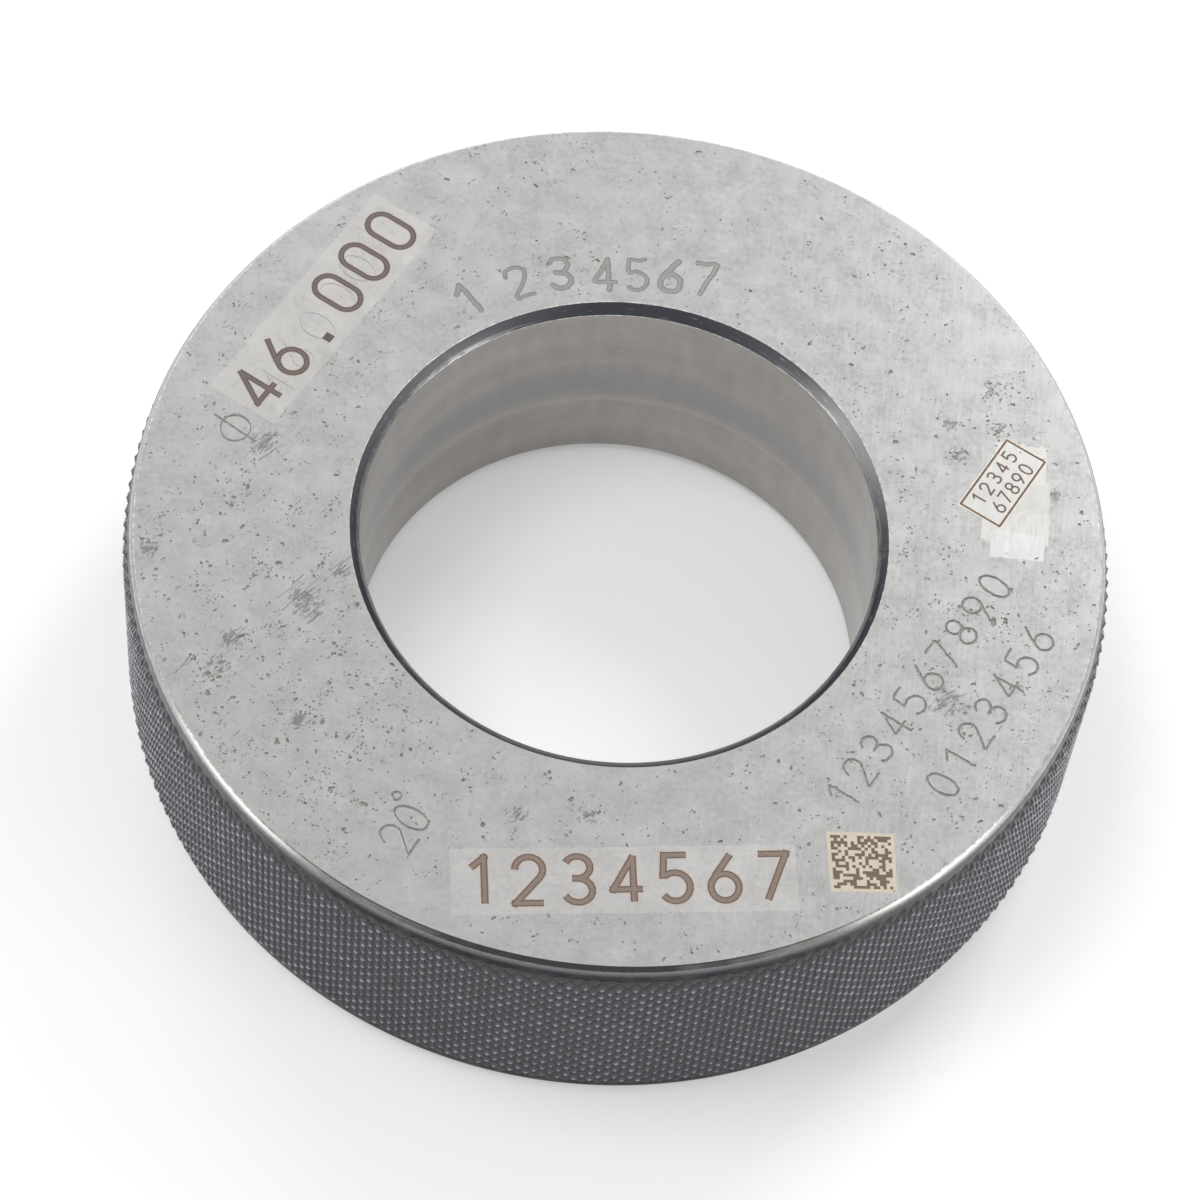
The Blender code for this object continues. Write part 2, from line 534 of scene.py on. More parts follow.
def ghosts(marks):
    """What is left of older, thinner digits under the large ones."""
    for middle in GHOST_RINGS:
        ring = turned(oval(0, 0, *GHOST_RADII, 27), LARGE_TURN)
        marks.groove(np.array(middle) + ring, True, *GHOST_RING_GROOVE, "ghost")
    for letter, middle in GHOST_DIGITS:
        marks.engrave(letter_at(letter, middle, LARGE_TURN, GHOST_HEIGHT), GHOST_DIGIT_GROOVE, "ghost")


def hatches(marks, draw):
    """Short fine scratches that lie nearly side by side, each with a slight bend."""
    for x, y, reach, count in HATCHES:
        for _ in range(count):
            middle = np.array((x + draw.gauss(0, reach / 2), y + draw.gauss(0, reach / 2)))
            half = draw.uniform(HATCH_SHORTEST, 0.6 * reach + HATCH_SHORTEST)
            bent = ((-half, 0), (0, draw.gauss(0, 0.05)), (half, 0))
            path = middle + turned(bent, HATCH_TURN + draw.gauss(0, 5))
            marks.stroke(path, False, draw.uniform(*HATCH_WIDTHS), "scratched")


def add_pit(marks, draw, x, y, area):
    """An uneven long pit that leans any way. A wider one is deeper, up to the deepest."""
    count = 6 if area < PIT_SMALL else 8
    mean = math.sqrt(area / math.pi)
    lean = draw.uniform(0, math.tau)
    long = draw.uniform(1.0, 1.7)
    radii = []
    for step in range(count):
        turn = step * math.tau / count
        stretch = math.sqrt((long * math.cos(turn)) ** 2 + (math.sin(turn) / long) ** 2)
        radii.append(mean * stretch * draw.uniform(0.7, 1.25))
    marks.pit(np.array((x, y)), radii, lean, min(PIT_DEEPEST, PIT_DEPTH * mean))


def marked_ground(x, y):
    """True on the burnt and scraped patches, where no pits are left."""
    for turn, (left, low, right, high) in PATCHES:
        across, up = turned((x, y), -turn)
        if left < across < right and low < up < high:
            return True
    return any(math.hypot(x - round_x, y - round_y) < reach for round_x, round_y, reach in MARKED_ROUNDS)


def room_for_pit(x, y, marked):
    on_face = SIZE.bore_edge + PIT_EDGE_ROOM < math.hypot(x, y) < SIZE.face_edge - PIT_EDGE_ROOM
    return on_face and not (marked and marked_ground(x, y))


def pit_area(draw):
    pick = draw.uniform(0, sum(count for _, _, count in PIT_SIZES))
    for low, high, count in PIT_SIZES:
        if pick < count:
            break
        pick -= count
    return math.exp(draw.uniform(math.log(low), math.log(high)))


def scatter_pits(marks, draw, total, densities, clusters=(), marked=False):
    """Pits over the whole face, some in short chains, and the named clusters."""
    placed = 0
    while placed < total:
        radius = math.sqrt(draw.uniform(SIZE.bore_edge ** 2, SIZE.face_edge ** 2))
        turn = draw.uniform(0, math.tau)
        if draw.random() * max(densities) > densities[int(turn / math.tau * len(densities))]:
            continue
        x, y = radius * math.cos(turn), radius * math.sin(turn)
        for _ in range(draw.choice(PIT_CHAINS)):
            if room_for_pit(x, y, marked):
                add_pit(marks, draw, x, y, pit_area(draw))
                placed += 1
            x += draw.gauss(0, PIT_STEP)
            y += draw.gauss(0, PIT_STEP)
    for x, y, spread, count in clusters:
        for _ in range(count):
            place = (x + draw.gauss(0, spread / 2), y + draw.gauss(0, spread / 2))
            if room_for_pit(*place, marked):
                add_pit(marks, draw, *place, pit_area(draw) * CLUSTER_GROWTH)


def spine_depth(points, groove):
    """How deep a groove is at each point: full depth on its middle line, none at its edge."""
    path, closed, half_width, depth = groove
    nearest = np.full(len(points), 1e9)
    ends = np.roll(path, -1, axis=0)
    for start, end in zip(path, ends if closed else ends[:-1]):
        along = end - start
        share = np.clip((points - start) @ along / (along @ along + 1e-12), 0, 1)
        nearest = np.minimum(nearest, np.linalg.norm(points - (start + share[:, None] * along), axis=1))
    return depth * np.clip(1 - nearest / half_width, 0, 1)


def pit_depth(points, pit):
    """How deep a pit is at each point: it falls from the rim to the flat floor."""
    middle, rim, depth = pit
    offset = points - middle
    reach = np.full(len(points), 1e9)
    for first, second in zip(rim, np.roll(rim, -1, axis=0)):
        area = first[0] * second[1] - first[1] * second[0]
        share_first = (offset[:, 0] * second[1] - offset[:, 1] * second[0]) / area
        share_second = (first[0] * offset[:, 1] - first[1] * offset[:, 0]) / area
        inside = (share_first >= -1e-9) & (share_second >= -1e-9)
        reach = np.where(inside, np.minimum(reach, share_first + share_second), reach)
    return depth * np.clip((1 - reach) / (1 - PIT_FLOOR), 0, 1)


def near(points, shape, margin):
    """The numbers of the points in a shape's box."""
    low, high = shape.min(axis=0) - margin, shape.max(axis=0) + margin
    return np.nonzero(np.all((points >= low) & (points <= high), axis=1))[0]


def depths(points, marks):
    """The depth of every point of a face, from all that is cut into it."""
    result = np.zeros(len(points))
    for groove in marks.grooves:
        chosen = near(points, groove[0], groove[2])
        result[chosen] = np.maximum(result[chosen], spine_depth(points[chosen], groove))
    for pit in marks.pits:
        chosen = near(points, pit[0] + pit[1], 0)
        result[chosen] = np.maximum(result[chosen], pit_depth(points[chosen], pit))
    return result


# Where marks lie over each other, the first in this list is the one that shows.
FINISH_ORDER = (
    "pit", "engraved", "scratched core", "scratched", "dark laser core", "dark laser", "laser core",
    "laser", "laser halo", "stamp halo", "ghost", "code cell", "code ground", "stamp ground",
    "scraped bright", "scraped", "scraped soft", "patch",
)
SUNK = ("pit", "engraved", "scratched core", "scratched", "ghost")
CUT_TOLERANCE = 1e-5


class Cut:
    """What one face is cut by: points, lines, and loops with what they mean."""

    def __init__(self):
        self.points = []
        self.lines = []
        self.loops = []
        self.meaning = []

    def add(self, points):
        first = len(self.points)
        self.points.extend(Vector(point) for point in points)
        return list(range(first, len(self.points)))

    def loop(self, points, meaning):
        """Adds a closed outline, turned round where it doesn't run counter-clockwise."""
        points = np.asarray(points)
        after = np.roll(points, -1, axis=0)
        if np.sum(points[:, 0] * after[:, 1] - points[:, 1] * after[:, 0]) < 0:
            points = points[::-1]
        self.loops.append(self.add(points))
        self.meaning.append(meaning)

    def path(self, points, closed):
        numbers = self.add(points)
        self.lines.extend(zip(numbers, numbers[1:]))
        if closed:
            self.lines.append((numbers[-1], numbers[0]))


def finish_of(loop_numbers, meaning):
    """The finish of a triangle that lies in these loops, or None outside the face."""
    kinds = [meaning[number] for number in loop_numbers]
    if ("hole", 0) in kinds or ("rim", 0) not in kinds:
        return None
    holes = {mark for kind, mark in kinds if kind == "hole"}
    found = {kind for kind, mark in kinds if mark not in holes}
    for finish in FINISH_ORDER:
        if finish in found:
            return finish
    return "ground"


def lay_out(shell, outer, inner, marks):
    """All that cuts a face between two rings, and which point of the shell each point of its rims is."""
    cut = Cut()
    edge = {}
    for ring, meaning in ((outer, ("rim", 0)), (inner, ("hole", 0))):
        cut.loop([np.array(shell.points[number][:2]) / MM for number in ring], meaning)
        edge.update(zip(cut.loops[-1], ring))
    for mark, (outline, hole, finish) in enumerate(marks.loops, start=1):
        cut.loop(outline, (finish, mark))
        if hole is not None:
            cut.loop(hole, ("hole", mark))
    for points, closed in marks.spines:
        cut.path(points, closed)
    return cut, edge


def from_face(depth, side):
    """The height of a place: a depth under the top face, where side is 1, or over the foot."""
    return SIZE.height - depth if side > 0 else depth


def cut_face(shell, outer, inner, side, marks):
    """Fills the flat face between two rings, with its marks."""
    cut, edge = lay_out(shell, outer, inner, marks)
    result = delaunay_2d_cdt(cut.points, cut.lines, cut.loops, 0, CUT_TOLERANCE, True)
    corners, triangles, sources, loop_sources = result[0], result[2], result[3], result[5]
    flat = np.array([(corner.x, corner.y) for corner in corners])
    finishes = [finish_of(loops, cut.meaning) for loops in loop_sources]
    drop = depths(flat, marks)
    for triangle, finish in zip(triangles, finishes):
        if finish not in SUNK:
            drop[triangle] = 0
    numbers = []
    for place, (x, y) in enumerate(flat):
        kept = [edge[source] for source in sources[place] if source in edge]
        numbers.append(kept[0] if kept else shell.point(x, y, from_face(drop[place], side)))
    for triangle, finish in zip(triangles, finishes):
        if finish:
            corner_numbers = [numbers[place] for place in triangle]
            shell.face(corner_numbers if side > 0 else corner_numbers[::-1], finish, smooth=False)


def top_marks():
    draw = random.Random(SEED)
    marks = Marks()
    for turn, patch in PATCHES:
        marks.patch(turned(rectangle(*patch), turn), "patch")
    for digits in (LARGE_DIGITS, LONG_DIGITS):
        write_laser(marks, **digits)
    for row in (ROW_ONE, ROW_TWO):
        engrave_row(marks, draw, **row)
    scratch_digits(marks, draw)
    date_stamp(marks)
    code_square(marks, draw)
    scrapes(marks, draw)
    diameter_sign(marks, **DIAMETER_SIGN)
    angle_mark(marks)
    ghosts(marks)
    hatches(marks, draw)
    scatter_pits(marks, draw, PIT_COUNT, PIT_DENSITY, PIT_CLUSTERS, marked=True)
    return marks


def foot_marks():
    """The face it stands on: pits only."""
    marks = Marks()
    scatter_pits(marks, random.Random(SEED + 1), FOOT_PIT_COUNT, (1.0,))
    return marks


class Crest:
    """The four corners of one diamond's flat top."""

    def __init__(self, shell, draw, column, row, rise):
        flat = CREST_FLAT + draw.uniform(-1, 1) * CREST_FLAT_SPREAD
        radius = SIZE.crest - abs(draw.gauss(0, CREST_HEIGHT_SPREAD)) - rise
        places = ((column - flat, row), (column + flat, row), (column, row - flat), (column, row + flat))
        corners = (shell.polar(radius, *lattice(*place)) for place in places)
        self.left, self.right, self.up, self.down = corners


def lattice(column, row):
    """A lattice place's turn and height."""
    top = SIZE.height - SIZE.knurl_start
    high = SIZE.height - 2 * SIZE.knurl_start
    return math.tau * column / COLUMNS, top - high * row / (DIAMOND_ROWS - 1)


def knurl(shell, top_foot, low_foot):
    """The diamond knurl between two rings of points: crests where column plus row is even."""
    draw = random.Random(SEED + 2)
    last = DIAMOND_ROWS - 1
    crossing = {}
    for row in range(DIAMOND_ROWS):
        for column in range((row + 1) % 2, COLUMNS, 2):
            radius = SIZE.neck + draw.uniform(0, VALLEY_SPREAD)
            crossing[column, row] = shell.polar(radius, *lattice(column, row))
    for row in range(DIAMOND_ROWS):
        edge_row = row in (0, last)
        for column in range(row % 2, COLUMNS, 2):
            crest = Crest(shell, draw, column, row, EDGE_ROW_DROP if edge_row else 0.0)
            shell.face((crest.up, crest.left, crest.down, crest.right), "burr" if edge_row else "knurl")
            sides = [crossing[(column + step) % COLUMNS, row] for step in (-1, 1)]
            for step, tip, foot in ((-1, crest.up, top_foot), (1, crest.down, low_foot)):
                if 0 <= row + step <= last:
                    faces = slopes(crossing[column, row + step], *sides, crest, tip)
                else:
                    faces = run_out(foot, column, *sides, crest, tip)
                for corners in faces:
                    shell.face(corners if step < 0 else corners[::-1], "knurl")


def slopes(beyond, left, right, crest, tip):
    """The two sides of a crest up to the crossing beyond its tip. Below, they are reversed."""
    return (beyond, left, crest.left, tip), (right, beyond, tip, crest.right)


def run_out(foot, column, left, right, crest, tip):
    """The triangles from a crest in the top row up to the neck. Below, they are reversed."""
    before, here, after = foot[column - 1], foot[column], foot[(column + 1) % COLUMNS]
    return (
        (here, before, tip), (before, left, crest.left), (before, crest.left, tip),
        (here, tip, after), (after, crest.right, right), (after, tip, crest.right),
    )


def turned_rings(shell, profile, side, count):
    """Rings of points, each with the finish of the band after it, from their radii and depths."""
    return [
        (shell.ring(radius, from_face(depth, side), count), finish)
        for radius, depth, finish in profile
    ]


def outer_rings(shell, side):
    """The turned edge from the face to the knurl."""
    wide, drop = EDGE_BREAK
    line_wide, line_drop = LINE_BREAK
    profile = (
        (SIZE.face_edge - wide / 2, 0, "worn edge"),
        (SIZE.face_edge + wide / 2, drop, "bevel"),
        (SIZE.bevel - line_wide, SIZE.bevel_drop - line_drop, "worn edge"),
        (SIZE.bevel + line_wide / 2, SIZE.bevel_drop + line_drop, "black"),
        (SIZE.neck - 0.085, 0.60, "black"),
        (SIZE.neck - 0.03, 0.74, "black"),
        (SIZE.neck, SIZE.round_drop, "black"),
    )
    rings = turned_rings(shell, profile, side, COLUMNS)
    foot = []
    for column in range(COLUMNS):
        depth = SIZE.neck_end + (SCALLOP_IN if column % 2 else -SCALLOP_OUT)
        foot.append(shell.polar(SIZE.neck, math.tau * column / COLUMNS, from_face(depth, side)))
    return rings + [(foot, None)]


def bore_rings(shell, side):
    """The bore's edge from the face to the wall."""
    profile = (
        (SIZE.bore_edge + BORE_BREAK / 2, 0, "worn edge"),
        (SIZE.bore_edge - BORE_BREAK / 2, BORE_BREAK * 0.7, "chamfer"),
        (SIZE.bore + BORE_BREAK / 2, SIZE.chamfer - BORE_BREAK / 2, "worn edge"),
        (SIZE.bore, SIZE.chamfer + BORE_BREAK / 2, "bore"),
    )
    return turned_rings(shell, profile, side, BORE_SIDES)


def chain(shell, rings, forward):
    """The bands between rings, or with forward False the same ones facing the other way."""
    for (first, finish), (second, _) in zip(rings[:-1], rings[1:]):
        pair = (first, second) if forward else (second, first)
        shell.band(*pair, finish)


def ring_piece(materials):
    """The whole ring as one closed mesh."""
    shell = Shell()
    outside_top, outside_low = outer_rings(shell, 1), outer_rings(shell, -1)
    inside_top, inside_low = bore_rings(shell, 1), bore_rings(shell, -1)
    chain(shell, outside_top, True)
    chain(shell, outside_low, False)
    chain(shell, inside_top, False)
    chain(shell, inside_low, True)
    shell.band(inside_low[-1][0], inside_top[-1][0], "bore")
    knurl(shell, outside_top[-1][0], outside_low[-1][0])
    cut_face(shell, outside_top[0][0], inside_top[0][0], 1, top_marks())
    cut_face(shell, outside_low[0][0], inside_low[0][0], -1, foot_marks())
    return shell.build("steel_ring", materials)


# Colours with red, green and blue from 0 to 1. A pair is a dark and a light one.
# Painted shade: a near black put on the front of the turned edge for a dark reflection.
PAINTED_FRONT_BLACK = (0.055, 0.053, 0.050)
OXIDE = ((0.008, 0.009, 0.011), (0.018, 0.020, 0.024))
# Bare steel for the worn shoulders, and for the painted sheen at the left and right.
OXIDE_WEAR_AND_SHEEN = (0.42, 0.43, 0.45)
# The knurl's colour in its valleys, darkened as painted shade, and on its crests.
KNURL_BLACK_VALLEY_SHADE = ((0.006, 0.0065, 0.008), (0.062, 0.067, 0.082))
# Bare steel for the worn crests and their painted sheen.
KNURL_WEAR_AND_SHEEN = (0.50, 0.505, 0.52)
# The chamfer's black, then bare steel for its worn spots and its painted glints.
CHAMFER_BLACK = ((0.013, 0.015, 0.022), (0.026, 0.029, 0.042))
CHAMFER_WEAR_AND_GLINT = (0.55, 0.55, 0.55)
BORE_STEEL = ((0.305, 0.288, 0.270), (0.415, 0.397, 0.377))

# In the bore: a painted bluish reflection band and a painted light reflection line under it. Each is a
# height, how far from it the colour is full and where it ends, how strong it is, and the colour.
PAINTED_BORE_REFLECTIONS = ((12.3, 0.8, 3.4, 0.60, (0.255, 0.26, 0.272)), (9.3, 0.1, 0.6, 0.22, (0.50, 0.48, 0.46)))

# The turns of the lapping and the brushing, where at the front the painted shade on the turned edge is
# full, and the place of the painted glint on the chamfer.
LAPPING_TURNS = (12, 64, 98, 151)
BRUSHING_TURN = 89
PAINTED_SHADE_FRONT = -42.3
PAINTED_GLINT_PLACE = (20.4, 11.8)


class Nodes:
    """The nodes of one material or world."""

    def __init__(self, tree):
        self.tree = tree

    def node(self, kind, *values, **settings):
        """Adds a node with these settings and with these values in its first inputs."""
        made = self.tree.nodes.new(kind)
        for name, setting in settings.items():
            setattr(made, name, setting)
        for socket, value in zip(made.inputs, values):
            self.feed(socket, value)
        return made

    def feed(self, socket, value):
        if isinstance(value, Value):
            self.tree.links.new(value.socket, socket)
        else:
            socket.default_value = (*value, 1) if socket.type == "RGBA" else value

    def math(self, operation, first, second=0.0):
        return Value(self, self.node("ShaderNodeMath", first, second, operation=operation).outputs[0])

    def seen_rays(self):
        """1 for rays from the camera, a reflection or a transmission, and 0 for the rest."""
        rays = self.node("ShaderNodeLightPath").outputs
        names = ("Is Camera Ray", "Is Glossy Ray", "Is Transmission Ray")
        camera, glossy, through = (Value(self, rays[name]) for name in names)
        return camera.most(glossy).most(through)


class Value:
    """A node's output. Arithmetic and the calls below add the nodes that work it out."""

    def __init__(self, nodes, socket):
        self.nodes = nodes
        self.socket = socket

    def __add__(self, other):
        return self.nodes.math("ADD", self, other)

    def __sub__(self, other):
        return self.nodes.math("SUBTRACT", self, other)

    def __mul__(self, other):
        return self.nodes.math("MULTIPLY", self, other)

    def __abs__(self):
        return self.nodes.math("ABSOLUTE", self)

    def most(self, other):
        return self.nodes.math("MAXIMUM", self, other)

    def remap(self, from_low, from_high, to_low=0.0, to_high=1.0):
        numbers = (from_low, from_high, to_low, to_high)
        made = self.nodes.node("ShaderNodeMapRange", self, *numbers, clamp=True)
        return Value(self.nodes, made.outputs[0])

    def mix(self, first, second):
        """A mix of two colours, with this as the second one's share."""
        made = self.nodes.node("ShaderNodeMix", data_type="RGBA")
        for name, value in (("Factor", self), ("A", first), ("B", second)):
            self.nodes.feed(made.inputs[name], value)
        return Value(self.nodes, made.outputs["Result"])

    def shade(self, from_low, from_high, dark, light):
        """A colour that goes from dark to light as this rises."""
        return self.remap(from_low, from_high).mix(dark, light)


class Finish(Nodes):
    """A procedural material, with places on the ring in millimetres."""

    def __init__(self, name):
        self.material = bpy.data.materials.new(name)
        self.material.use_nodes = True
        super().__init__(self.material.node_tree)
        self.shader = self.tree.nodes["Principled BSDF"].inputs
        object_place = Value(self, self.node("ShaderNodeTexCoord").outputs["Object"])
        scaled = self.node("ShaderNodeVectorMath", object_place, operation="SCALE")
        scaled.inputs["Scale"].default_value = 1 / MM
        self.place = Value(self, scaled.outputs[0])

    def noise(self, size, detail, rough, place=None):
        """Noise with lumps about size across, from 0 to 1."""
        made = self.node("ShaderNodeTexNoise", place or self.place)
        for name, value in (("Scale", 1 / size), ("Detail", detail), ("Roughness", rough)):
            made.inputs[name].default_value = value
        return Value(self, made.outputs["Fac"])

    def stretched(self, turn, scale):
        """Places turned about the axis, then scaled on each side."""
        values = (self.place, (0, 0, 0), (0, 0, math.radians(turn)), scale)
        return Value(self, self.node("ShaderNodeMapping", *values, vector_type="TEXTURE").outputs[0])

    def along(self, axis):
        """The place along one axis: X to the right, Y to the back, Z up."""
        return Value(self, self.node("ShaderNodeSeparateXYZ", self.place).outputs[axis])

    def polar(self, around, up):
        """Places as the distance round the ring and the height, each divided by a length."""
        turn = self.math("ARCTAN2", self.along("Y"), self.along("X"))
        values = (turn * (SIZE.bore / around), self.along("Z") * (1 / up))
        return Value(self, self.node("ShaderNodeCombineXYZ", *values).outputs[0])

    def distance(self, place):
        """The distance from a place."""
        made = self.node("ShaderNodeVectorMath", self.place, place, operation="DISTANCE")
        return Value(self, made.outputs["Value"])

    def radius(self):
        """The distance from the ring's axis."""
        across, back = (self.math("POWER", self.along(axis), 2.0) for axis in ("X", "Y"))
        return self.math("SQRT", across + back)

    def bump(self, *layers):
        """Adds bumps: each layer is a height from 0 to 1 and how deep it is in millimetres."""
        heights = [value * depth for value, depth in layers]
        made = self.node("ShaderNodeBump")
        made.inputs["Distance"].default_value = MM
        self.feed(made.inputs["Height"], sum(heights[1:], heights[0]))
        self.feed(self.shader["Normal"], Value(self, made.outputs[0]))

    def surface(self, colour, roughness, metallic=1.0, ior=None):
        self.feed(self.shader["Base Color"], colour)
        self.feed(self.shader["Roughness"], roughness)
        self.feed(self.shader["Metallic"], metallic)
        if ior:
            self.feed(self.shader["IOR"], ior)
        return self.material


def tinted(colour, share):
    return tuple(min(1.0, share * part) for part in colour)


def lapping(finish):
    """Fine crossing scratches from grinding and lapping, from 0 to 1."""
    total = None
    for turn in LAPPING_TURNS:
        lines = finish.noise(0.2, 1.0, 0.5, finish.stretched(turn, (1, 20, 1))).remap(0.58, 0.74)
        total = lines if total is None else total.most(lines)
    return total


def specks(finish):
    """Tiny dark specks that gather in loose groups, from 0 to 1."""
    groups = finish.noise(3.2, 2.0, 0.6).remap(0.47, 0.66, 0.0, 0.12)
    groups = groups + finish.along("X").remap(-30, 15, 0.02, -0.03)
    for x, y, reach in SMUDGES:
        away = finish.distance((x, y, SIZE.height))
        groups = groups.most(away.remap(0.1 * reach, 1.5 * reach, 0.29, 0.0))
    fine = finish.noise(0.34, 3.0, 0.7, finish.stretched(48, (1.8, 1, 1)))
    return (fine + groups).remap(0.70, 0.78, 0.0, 0.72)


def steel_finish(name, dark, light, roughness, speckled=1.0):
    """Ground steel: clouded and specked colour, crossing scratches and a fine grain."""
    finish = Finish(name)
    clouds = finish.noise(2.6, 4.0, 0.6)
    fine = finish.noise(0.5, 2.0, 0.5)
    scratches = lapping(finish)
    strokes = finish.noise(0.25, 1.0, 0.5, finish.stretched(BRUSHING_TURN, (16, 1, 1)))
    streaks = strokes.remap(0.3, 0.7, -0.13, 0.13) * finish.along("X").remap(0, 22)
    colour = (clouds * 0.75 + fine * 0.25 + streaks).shade(0.32, 0.68, dark, light)
    colour = (specks(finish) * speckled).mix(colour, tinted(dark, 0.36))
    colour = (scratches * 0.25).mix(colour, tinted(light, 1.18))
    finish.bump((fine, 0.002), (scratches, -0.001))
    rough = (clouds + fine).remap(0.7, 1.3, roughness - 0.04, roughness + 0.05)
    return finish.surface(colour, rough)


def brushed_finish(name, dark, light, roughness):
    """Steel worked in one direction: long fine strokes."""
    finish = Finish(name)
    strokes = finish.noise(0.22, 1.0, 0.5, finish.stretched(BRUSHING_TURN, (9, 1, 1)))
    clouds = finish.noise(1.4, 3.0, 0.6)
    colour = (clouds * 0.65 + strokes * 0.35).shade(0.3, 0.7, dark, light)
    finish.bump((strokes, 0.001))
    return finish.surface(colour, strokes.remap(0.3, 0.7, roughness - 0.02, roughness + 0.03))


def stain_finish(name, dark, light, roughness, metallic, size=0.25, grain=0.01):
    """A burnt, stained or pitted ground: uneven colour and a rough skin."""
    finish = Finish(name)
    lumps = finish.noise(size, 4.0, 0.65)
    fine = finish.noise(size / 4, 2.0, 0.6)
    colour = (lumps * 0.6 + fine * 0.4).shade(0.32, 0.68, dark, light)
    finish.bump((fine, grain))
    rough = lumps.remap(0.3, 0.7, roughness - 0.06, roughness + 0.08)
    return finish.surface(colour, rough, metallic)


def painted_front_shade(finish, unshaded_from):
    """Painted shade on the turned edge that stands for a dark reflection, from 0 to 1: all at the front,
    none from a place on.
    """
    uneven = finish.noise(3.0, 3.0, 0.6) * 5.0 - 2.5
    return (finish.along("Y") + uneven).remap(PAINTED_SHADE_FRONT, unshaded_from, 1.0, 0.0)


def worn_finish(name, dark, light, roughness):
    """Bare steel on an edge: mostly bright, dull in places, and with painted shade at the front for a
    dark reflection.
    """
    finish = Finish(name)
    half = SIZE.height / 2
    places = finish.noise(0.5, 5.0, 0.7)
    # Painted shade: towards the front the edge is darkened, most near the faces, for a dark reflection.
    outer = abs(finish.along("Z") - half).remap(half - 0.5, half - 0.25, 0.6, 1.0)
    bare = places.shade(0.40, 0.60, dark, light)
    colour = (outer * painted_front_shade(finish, -9.0)).mix(bare, PAINTED_FRONT_BLACK)
    finish.bump((finish.noise(0.12, 3.0, 0.6), 0.003))
    return finish.surface(colour, places.remap(0.3, 0.7, roughness + 0.1, roughness))


def turned_finish(name, dark, light, roughness):
    """Steel turned on a lathe: fine lines round the ring and soft clouds, with painted shade at the front
    for a dark reflection.
    """
    finish = Finish(name)
    lines = finish.noise(1.0, 2.0, 0.5, finish.polar(5.0, 0.12))
    clouds = finish.noise(1.2, 3.0, 0.6)
    colour = (clouds * 0.6 + lines * 0.4).shade(0.35, 0.65, dark, light)
    # Painted shade: darker towards the front for a dark reflection.
    colour = painted_front_shade(finish, -34.0).mix(colour, PAINTED_FRONT_BLACK)
    finish.bump((lines, 0.002))
    return finish.surface(colour, clouds.remap(0.3, 0.7, roughness - 0.03, roughness + 0.05))


def knurl_finish(name, rubbed_and_glint, side_sheen):
    """The blackened diamonds: painted shade darkens the valleys, the crests are worn bright, and a
    painted sheen brightens them towards the left and right.
    """
    finish = Finish(name)
    clouds = finish.noise(2.2, 4.0, 0.6)
    fine = finish.noise(0.16, 3.0, 0.6)
    reach = finish.radius() + (clouds * 0.16 + fine * 0.14 - 0.15)
    # Painted shade: darker the deeper a place lies towards the valleys.
    colour = reach.shade(SIZE.neck + 0.05, SIZE.crest - 0.08, *KNURL_BLACK_VALLEY_SHADE)
    # Painted sheen: the crests grow brighter towards the left and right.
    most = abs(finish.along("X")).remap(12, 40, rubbed_and_glint, side_sheen)
    worn = reach.remap(SIZE.crest - 0.13, SIZE.crest - 0.01) * most
    finish.bump((fine, 0.006))
    rough = fine.remap(0.3, 0.7, 0.28, 0.40)
    return finish.surface(worn.mix(colour, KNURL_WEAR_AND_SHEEN), rough, worn, ior=1.6)


def black_finish(name):
    """Black oxide, worn through to steel on the rounded shoulders, less worn at the front as painted
    shade, and with a painted sheen of bare steel at the left and right.
    """
    finish = Finish(name)
    half = SIZE.height / 2
    clouds = finish.noise(1.8, 4.0, 0.6)
    fine = finish.noise(0.14, 3.0, 0.6)
    shoulder = abs(finish.along("Z") - half).remap(half - 1.15, half - 0.5)
    wear_and_sheen = (shoulder + fine.remap(0.3, 0.7, -0.12, 0.12)).remap(0.25, 1.0, 0.0, 0.55)
    # Painted shade: the shoulders are less worn towards the front.
    wear_and_sheen = wear_and_sheen * painted_front_shade(finish, -34.0).remap(0.0, 1.0, 1.0, 0.85)
    # Painted sheen: bare steel towards the left and right.
    side_sheen = abs(finish.along("X")).remap(20, 38, 0.0, 0.41)
    wear_and_sheen = wear_and_sheen.most(side_sheen + clouds.remap(0.3, 0.7, -0.08, 0.08))
    colour = wear_and_sheen.mix(clouds.shade(0.35, 0.65, *OXIDE), OXIDE_WEAR_AND_SHEEN)
    finish.bump((fine, 0.006), (clouds, 0.01))
    return finish.surface(colour, fine.remap(0.3, 0.7, 0.30, 0.42), wear_and_sheen, ior=1.22)


